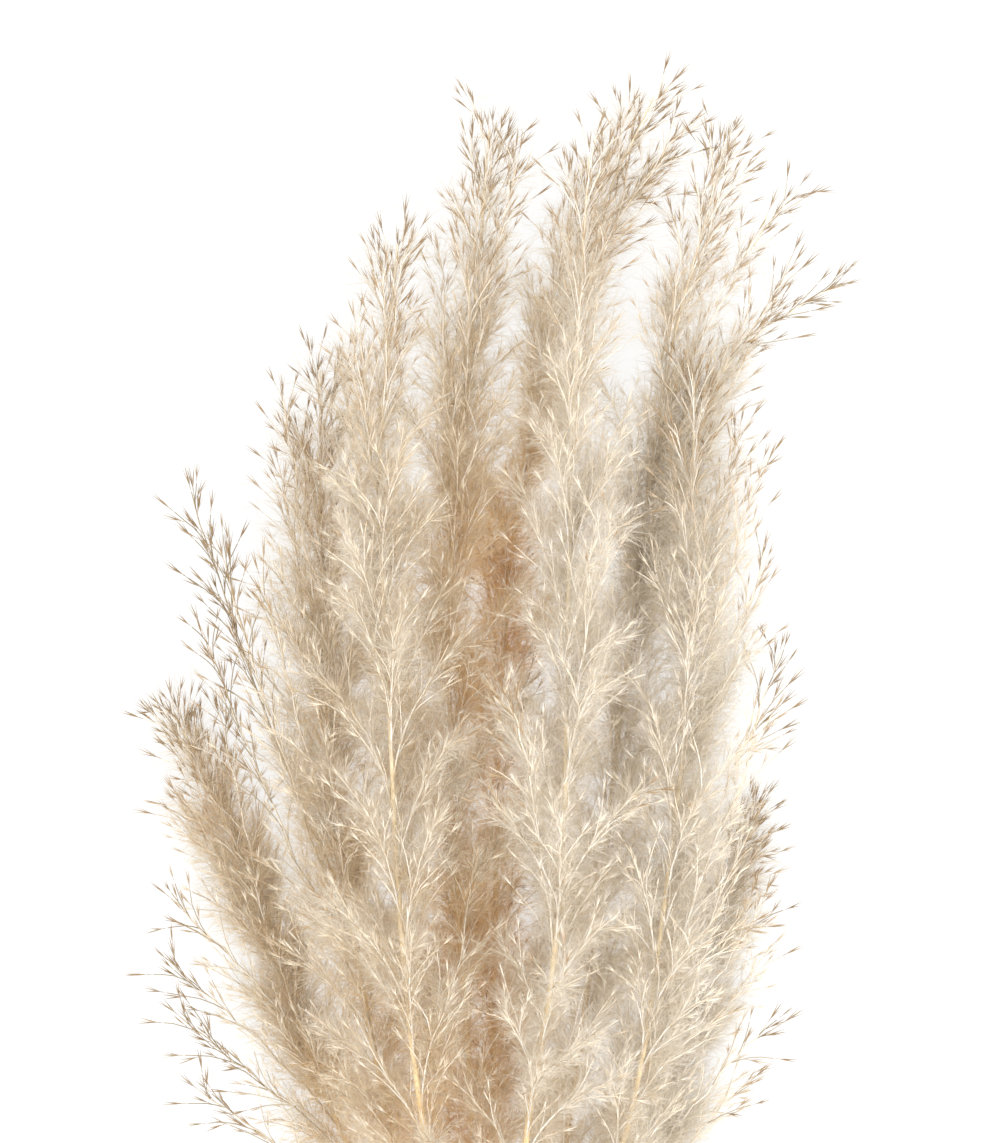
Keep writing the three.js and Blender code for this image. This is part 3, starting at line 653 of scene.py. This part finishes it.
MATERIALS = {
    # silky hairs: cream, glowing where light comes through them, and warmer deep in a head; their warmest
    # tones also carry the painted shade at the bundle's middle
    "down": strand_material(
        "dried silky down", [(0, "#f8f7f5"), (0.33, "#ece6db"), (0.65, "#f2e3c7"), (1, "#f3dab0")],
        [(0, "#f8f4ee"), (0.4, "#ffffff"), (1, "#ffffff")], 0.6, 0.8),
    # papery glumes: tan where they stand open, bleached in the down and towards their points
    "chaff": strand_material(
        "dried papery chaff", [(0, "#fdfcf9"), (0.3, "#f8f4ea"), (0.65, "#c8b396"), (1, "#ad9779")],
        [(0, "#f3ebdd"), (0.35, "#f6efe3"), (0.7, "#fbf7f0"), (1, "#ffffff")], 0.45, 0.35),
    # branches and branchlets: wiry straw with a slight gloss, darker where they leave
    "wire": strand_material(
        "dried wiry straw", [(0, "#fdfbf6"), (0.3, "#f5efe2"), (0.65, "#baad96"), (1, "#a0947c")],
        [(0, "#d8c09a"), (0.25, "#ffffff"), (1, "#f6ead8")], 0.4, 0.15),
    # the stem inside a head: straw like the culm at its base, bleached and papery towards the tip
    "rachis": strand_material(
        "dried rachis straw", [(0, "#f4e9d2"), (1, "#ffffff")],
        [(0, "#cba86c"), (0.1, "#dcc28d"), (0.3, "#ead9b4"), (1, "#f5ecd9")], 0.42, 0.1),
    # single fibres of the twine: its own colour, and a little paler
    "fibre": strand_material(
        "loose jute fibre", [(0, "#d8bd8e"), (1, "#9c7843")], [(0, "#e8dcc8"), (1, "#ffffff")], 0.8, 0.3),
    "culm": culm_material(), "pith": pith_material(), "jute": jute_material()}

# ---- heads ----
shapes = {
    "hair": placed("hair_shape", hair_shape()),
    "spikelet": placed("spikelet_shape", spikelet_shape())}
grow_limbs, set_along, set_down = limb_tree(), setting_tree(), down_tree()


def grow_hairs(name, mesh, hairs, seed, material):
    """The plain mesh piece of hairs that grow on the points of a mesh."""
    return grown(name, mesh, set_down, {
        "Hair": shapes["hair"], "Length": hairs.length * MM, "Width": hairs.width * MM,
        "Spread": hairs.spread, "Run": hairs.run * MM, "Seed": seed, "Material": MATERIALS[material]})


def packed_at(name, places, depth, hairs):
    """How much of its down each place on a head bears: none where its hairs would stand too high."""
    fluff = fluff_at(name, places, depth, FLUFF_REACH.get(name, 1))
    fluff[places[:, 2] > HIGHEST - HAIRS_RISE * hairs.length] = 0
    return fluff


def tones_at(base, places, depth, rng):
    """The tone at each place on a head: warmer deep in it, and warmer near the bundle's middle where heads
    over it keep the light away, which is painted shade.
    """
    tones = base + 0.15 * np.clip(1 - depth / 45, 0, 1) + 0.46 * middle_shade(places)
    return np.clip(tones + rng.normal(0, 0.07, len(depth)), PALEST, DARKEST)


def dress_head(name, seed):
    """Grows a head's five pieces: its rachis, its branches and spikelets, the silky hairs along its
    branchlets and the down at its spikelets."""
    rng = np.random.default_rng(seed)
    warmth, rachis = STALKS[name].warmth, rachises[name]
    branches = head_branches(name, rachis, rng)
    branchlets = head_branchlets(branches, rng)

    places, aims = head_spikelets(branches, branchlets, rng)
    depth = from_rachis(places)
    open_here = np.clip(1 - fluff_at(name, places, depth), 0, 1)
    grown_to = rng.uniform(0.72, 1.1, len(places)) * (0.72 + 0.32 * open_here)
    tone = tones_at(warmth - 0.12, places, depth, rng) + 1.15 * open_here**1.3
    chaff = attributed(name, places + BUNDLE_SHIFT, aim=aims, grown_to=grown_to,
                       tone=np.clip(tone, PALEST, DARKEST))
    hairs = rng.poisson(DOWN.most * packed_at(name, places, depth, DOWN)).astype(np.int32)
    down = attributed(name, places + BUNDLE_SHIFT, aim=aims, hairs=hairs,
                      tone=tones_at(warmth + 0.1, places, depth, rng))

    limbs = [*branches, *branchlets]
    middles = np.array([run.at(0.5) for run, _ in limbs])
    limb_tones = np.clip(warmth + from_rachis(middles) / 55 - 0.35, 0.05, 0.95)
    limb_tones = np.clip(limb_tones + rng.normal(0, 0.08, len(limbs)), PALEST, DARKEST)

    places = np.array([run.points[0] for run, _ in branchlets])
    aims = unit(np.array([run.points[-1] for run, _ in branchlets]) - places)
    depth = from_rachis(places)
    packed = np.clip(1.2 * packed_at(name, places, depth, SILK) - 0.15, 0, 1)
    hairs = rng.poisson(SILK.most * packed).astype(np.int32)
    silk = attributed(name, places + BUNDLE_SHIFT, aim=aims, hairs=hairs,
                      tone=tones_at(warmth + 0.12, places, depth, rng))

    stem = limbs_mesh(name, [tapered(rachis, *RACHIS_RADII)], [0.5])
    for piece in (
            grown(f"rachis_{name}", stem, grow_limbs,
                  {"Sides": RACHIS_SIDES, "Material": MATERIALS["rachis"]}),
            grown(f"branches_{name}", limbs_mesh(name, limbs, limb_tones), grow_limbs,
                  {"Sides": BRANCH_SIDES, "Material": MATERIALS["wire"]}),
            grown(f"spikelets_{name}", chaff, set_along, {
                "Shape": shapes["spikelet"], "Length": SPIKELET_LENGTH * MM,
                "Width": SPIKELET_WIDTH * MM, "Seed": seed, "Material": MATERIALS["chaff"]}),
            grow_hairs(f"silk_{name}", silk, SILK, seed, "down"),
            grow_hairs(f"down_{name}", down, DOWN, seed, "down")):
        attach(piece, "root")
        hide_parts(f"plume_{name}")


for number, stalk_name in enumerate(STALKS):
    dress_head(stalk_name, number + 1)

# ---- culms ----
CULM_SIDES, CULM_RINGS, CULM_POINTS = 18, 60, 200
CULM_TAPERS_AT = (0, 0.62, 0.74, 0.88, 1)            # shares of its length; the twine is at the 2nd and 3rd
INTO_THE_HEAD = 0.004                                # share of the stalk that its culm goes on into the head
RIBS, RIB_HEIGHT = 5, 0.012                          # height as a share of the radius
JOINT_SWELL, JOINT_SWELL_WIDTH = 0.13, 0.014         # shares of the radius, and of the length either side
JOINT_RIDGES_AT, JOINT_RIDGE, JOINT_RIDGE_WIDTH = (-0.006, 0.012), 0.3, 0.004
JOINT_STAIN_WIDTH = 0.012
CUT_FACE = ((0.75, 0.02), (0.7, 0.3), (0.5, 0.62), (0.1, 0.72), (0, 0.9))   # depth, share of the radius
CUT_EDGE = 0.25                                      # rounding of the rind where it was cut


def culm_radii(shares):
    """The radius of a culm at shares of its length, with the swollen joint and its two thin ridges."""
    cut, tie, head = (CULM_RADIUS[key] for key in ("cut", "tie", "head"))
    straw = np.interp(shares, CULM_TAPERS_AT, (cut, tie, tie, (tie + head) / 2, head))
    off = shares - CULM_JOINT_AT
    ridges = sum(np.exp(-(((off - side) / JOINT_RIDGE_WIDTH) ** 2)) for side in JOINT_RIDGES_AT)
    return straw * (1 + JOINT_SWELL * np.exp(-((off / JOINT_SWELL_WIDTH) ** 2))) + JOINT_RIDGE * ridges


def culm_mesh(name, run):
    """A culm from its cut end into its head: round, faintly ribbed, with a hollowed pithy cut face."""
    near_joint = CULM_JOINT_AT + np.linspace(-0.03, 0.03, 25)
    shares = np.unique(np.round(np.concatenate([np.linspace(0, 1, CULM_RINGS), near_joint]), 5))
    centres, along, radii = run.at(shares), run.along(shares), culm_radii(shares)
    start, inwards = centres[0], along[0]
    centres[0] = start + inwards * CUT_EDGE
    depth, size = np.array(CUT_FACE).T
    centres = np.concatenate([start + depth[:, None] * inwards, centres])
    along = np.concatenate([np.repeat(inwards[None], len(depth), 0), along])
    radii = np.concatenate([size * radii[0], radii])
    gone = np.concatenate([np.zeros(len(depth)), shares * run.length])
    places = np.stack([
        centres + outwards(along, angle) * (radii * (1 + RIB_HEIGHT * math.cos(RIBS * angle)))[:, None]
        for angle in np.arange(CULM_SIDES) / CULM_SIDES * math.tau], 1).reshape(-1, 3)
    places[:, 2] = np.maximum(places[:, 2], 0)
    faces, uvs = [], []
    for ring in range(len(centres) - 1):
        for k in range(CULM_SIDES):
            a, b = ring * CULM_SIDES + k, ring * CULM_SIDES + (k + 1) % CULM_SIDES
            faces.append((a, a + CULM_SIDES, b + CULM_SIDES, b))
            uvs += [((k + i) / CULM_SIDES, gone[ring + j]) for i, j in ((0, 0), (0, 1), (1, 1), (1, 0))]
    last = len(places) - CULM_SIDES
    faces += [tuple(range(CULM_SIDES)), tuple(range(last, len(places)))[::-1]]
    uvs += [(0.5, gone[0])] * CULM_SIDES + [(0.5, gone[-1])] * CULM_SIDES
    off = np.concatenate([np.ones(len(depth)), shares - CULM_JOINT_AT])
    mesh = attributed(name, places + BUNDLE_SHIFT, (), faces,
                      joint=np.repeat(np.exp(-((off / JOINT_STAIN_WIDTH) ** 2)), CULM_SIDES))
    mesh.uv_layers.new(name="Wrap").data.foreach_set("uv", np.array(uvs).ravel())
    mesh.materials.append(MATERIALS["culm"])
    mesh.materials.append(MATERIALS["pith"])
    in_the_cut = np.zeros(len(faces), np.int32)
    in_the_cut[: (len(depth) - 1) * CULM_SIDES] = 1
    in_the_cut[-2] = 1
    mesh.polygons.foreach_set("material_index", in_the_cut)
    return mesh


for stalk_name, run in runs.items():
    bare = run.stretch(0, head_shares[stalk_name] + INTO_THE_HEAD, CULM_POINTS)
    culm = placed(f"straw_{stalk_name}", culm_mesh(stalk_name, bare))
    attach(culm, "root")
    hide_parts(f"culm_{stalk_name}")

# ---- twine ----
TWINE_RADIUS, TWINE_TURNS, TWINE_PITCH, TWINE_LAY = 1.3, 4, 2.55, 7.5
TWINE_FROM_CULM = 1.6                 # the twine's middle, from the culms' skin
TWINE_STEP, TURN_POINTS = 0.6, 72
PLIES, PLY_SIDES = 3, 9
PLY_RADIUS, PLY_OUT = 0.5, 0.54       # shares of the twine's radius
KNOT_SIZE, TAIL, TAIL_RISE = 1.15, 24.0, (0.35, 0.5)
FIBRES_PER_MM, FIBRES_PER_END = 2.2, 70
TWINE_SEED = 20


def round_the_culms(angle):
    """The point of the taut loop round all culms that faces this way."""
    facing_way = np.array([math.sin(angle), math.cos(angle)])
    beds = np.array([stalk.bed for stalk in STALKS.values()]) * CULM_PITCH
    return beds[(beds @ facing_way).argmax()] + facing_way * (CULM_RADIUS["tie"] + TWINE_FROM_CULM)


def twine_lines():
    """The middle lines of the turns, the knot and its two tails."""
    lift = CULM_PITCH + CULM_RADIUS["tie"] + TWINE_FROM_CULM + 2.2 * TWINE_RADIUS
    knot = TIE + (0, 0, lift)
    turns = []
    for angle in np.linspace(0, math.tau * TWINE_TURNS, TURN_POINTS * TWINE_TURNS):
        x, z = round_the_culms(angle)
        turns.append(TIE + (x, (angle / math.tau - TWINE_TURNS / 2) * TWINE_PITCH, z))
    turns = [knot + (-1.5, -1, 0), *turns, knot + (1.5, 1, 0)]
    t = np.linspace(0, math.tau, 60)
    loop = knot + KNOT_SIZE * np.stack([
        1.15 * (np.sin(t) + 2 * np.sin(2 * t)), np.cos(t) - 2 * np.cos(2 * t), -1.5 * np.sin(3 * t)], 1)
    lines = [Run(turns), Run(loop)]
    for way, rise in zip((1, -1), TAIL_RISE):
        t = np.linspace(0, 1, 30)[:, None]
        bend, end = ([TAIL * x * way, TAIL * y * way, TAIL * z * rise]
                     for x, y, z in ((0.5, 0.12, 0.6), (0.9, 0.38, -0.1)))
        lines.append(Run(knot + np.array(bend) * 2 * t * (1 - t) + np.array(end) * t**2))
    return lines


def twine_tree():
    """Lays three plies along each line, twisted about each other."""
    tree, given = new_tree("lay twine", {"Radius": "Float", "Lay": "Float", "Step": "Float",
                                         "Material": "Material"})
    line = add(tree, "GeometryNodeMeshToCurve", {"Mesh": given["Geometry"]})
    line = add(tree, "GeometryNodeResampleCurve", {"Curve": line, "Length": given["Step"]}, mode="LENGTH")
    gone = add(tree, "GeometryNodeSplineParameter").outputs["Length"]
    line = add(tree, "GeometryNodeStoreNamedAttribute", {
        "Geometry": line, "Name": "gone", "Value": gone}, data_type="FLOAT", domain="POINT")
    turned = add(tree, "ShaderNodeMath", {0: gone, 1: given["Lay"]}, operation="DIVIDE")
    turned = add(tree, "ShaderNodeMath", {0: turned, 1: math.tau}, operation="MULTIPLY")
    line = add(tree, "GeometryNodeSetCurveTilt", {"Curve": line, "Tilt": turned})
    ply_radius = add(tree, "ShaderNodeMath", {0: given["Radius"], 1: PLY_RADIUS}, operation="MULTIPLY")
    ply = add(tree, "GeometryNodeCurvePrimitiveCircle", {"Resolution": PLY_SIDES, "Radius": ply_radius})
    round_ply = add(tree, "ShaderNodeMath", {0: add(tree, "GeometryNodeInputIndex"), 1: float(PLY_SIDES)},
                    operation="DIVIDE")
    ply = add(tree, "GeometryNodeStoreNamedAttribute", {
        "Geometry": ply, "Name": "around", "Value": round_ply}, data_type="FLOAT", domain="POINT")
    plies = []
    for k in range(PLIES):
        out = add(tree, "ShaderNodeVectorMath", {
            0: (math.cos(math.tau * k / PLIES), math.sin(math.tau * k / PLIES), 0),
            "Scale": given["Radius"]}, operation="SCALE")
        out = add(tree, "ShaderNodeVectorMath", {0: out, "Scale": PLY_OUT}, operation="SCALE")
        plies.append(add(tree, "GeometryNodeTransform", {"Geometry": ply, "Translation": out}))
    profile = add(tree, "GeometryNodeJoinGeometry", {0: plies})
    laid = add(tree, "GeometryNodeCurveToMesh", {"Curve": line, "Profile Curve": profile, "Fill Caps": True})
    smooth = add(tree, "GeometryNodeSetShadeSmooth", {0: laid})
    real = add(tree, "GeometryNodeRealizeInstances", {0: smooth})
    add(tree, "NodeGroupOutput", {0: add(tree, "GeometryNodeSetMaterial", {
        "Geometry": real, "Material": given["Material"]})})
    return tree


def lay_twine(lines):
    """The twine along its lines."""
    edges, first = [], 0
    for run in lines:
        edges += [(first + i, first + i + 1) for i in range(len(run.points) - 1)]
        first += len(run.points)
    places = np.concatenate([run.points for run in lines]) + BUNDLE_SHIFT
    return grown("twine", attributed("twine", places, edges), twine_tree(), {
        "Radius": TWINE_RADIUS * MM, "Lay": TWINE_LAY * MM, "Step": TWINE_STEP * MM,
        "Material": MATERIALS["jute"]})


def fray_twine(lines):
    """Loose fibres that stand off the twine, and a brush of them at each cut end."""
    rng = np.random.default_rng(TWINE_SEED)
    places, aims = [], []
    for run in lines:
        for share in rng.uniform(0.02, 1, int(run.length * FIBRES_PER_MM)):
            out = outwards(run.along(share), rng.uniform(0, math.tau))
            places.append(run.at(share) + out * TWINE_RADIUS * 0.7)
            aims.append(run.along(share) * 1.2 + out * rng.uniform(0.3, 1))
    for run in lines[2:]:
        places += [run.at(0.98 + 0.02 * share) for share in rng.uniform(0, 1, FIBRES_PER_END)]
        aims += [run.along(1.0) + rng.normal(0, 0.22, 3) for _ in range(FIBRES_PER_END)]
    count = len(places)
    fibres = attributed("twine_fibres", np.array(places) + BUNDLE_SHIFT, aim=unit(np.array(aims)),
                        hairs=np.full(count, LOOSE_FIBRES.most, np.int32), tone=rng.uniform(0.1, 0.9, count))
    return grow_hairs("twine_fibres", fibres, LOOSE_FIBRES, TWINE_SEED, "fibre")


tie_lines = twine_lines()
for piece in (lay_twine(tie_lines), fray_twine(tie_lines)):
    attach(piece, "root")
    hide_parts("twine_tie")
for shape in shapes.values():
    bpy.data.objects.remove(shape)

# ---- floor, light and camera ----
FLOOR_HALF = 3.0
FLOOR_GLOW, SKY_STRENGTH = 0.8, 1.38      # the floor comes out just white, so that thin hairs show on it
LAMPS = (("key", (-0.5, -0.3, 1.6), 1.6, 12), ("fill", (0.8, -0.3, 1.4), 1.8, 20))    # place, size, watts
LIT_POINT = Vector((0, 0.2, 0.05))
# the photograph looks straight down, with the heads' tips up, and its 1143 rows cover 686 mm
LENS, SENSOR, SHOWN_HEIGHT = 110, 36, 0.686
EYE_X, EYE_Y, SHOWN_LEVEL = -0.0030, 0.2436, 0.09


def lay_floor():
    """A pale studio floor, lit a little from below."""
    corners = [(x * FLOOR_HALF, y * FLOOR_HALF, 0) for x, y in ((-1, -1), (1, -1), (1, 1), (-1, 1))]
    floor = placed("floor", bpy.data.meshes.new("floor"))
    floor.data.from_pydata(corners, [], [(0, 1, 2, 3)])
    material, tree = new_material("pale studio floor")
    white = add(tree, "ShaderNodeBsdfPrincipled", {
        "Base Color": linear("#6d6d6b"), "Roughness": 0.9, "Emission Color": linear("#ffffff"),
        "Emission Strength": FLOOR_GLOW})
    add(tree, "ShaderNodeOutputMaterial", {"Surface": white})
    floor.data.materials.append(material)
    return floor


def light_studio():
    """An even white sky and two large soft lamps."""
    world = bpy.data.worlds.new("soft studio")
    bpy.context.scene.world = world
    world.use_nodes = True
    sky = world.node_tree.nodes["Background"].inputs
    sky["Color"].default_value = linear("#ffffff")
    sky["Strength"].default_value = SKY_STRENGTH
    for name, place, size, power in LAMPS:
        light = bpy.data.lights.new(name, "AREA")
        light.shape, light.size, light.energy = "DISK", size, power
        lamp = placed(name, light)
        lamp.location = place
        lamp.rotation_euler = (LIT_POINT - lamp.location).to_track_quat("-Z", "Y").to_euler()
    bpy.context.scene.view_settings.view_transform = "Standard"


def set_camera():
    """The photograph's view."""
    camera = bpy.data.cameras.new("camera")
    camera.lens, camera.sensor_width = LENS, SENSOR
    eye = placed("camera", camera)
    eye.location = (EYE_X, EYE_Y, SHOWN_LEVEL + SHOWN_HEIGHT * LENS / SENSOR)
    bpy.context.scene.camera = eye


lay_floor()
light_studio()
set_camera()
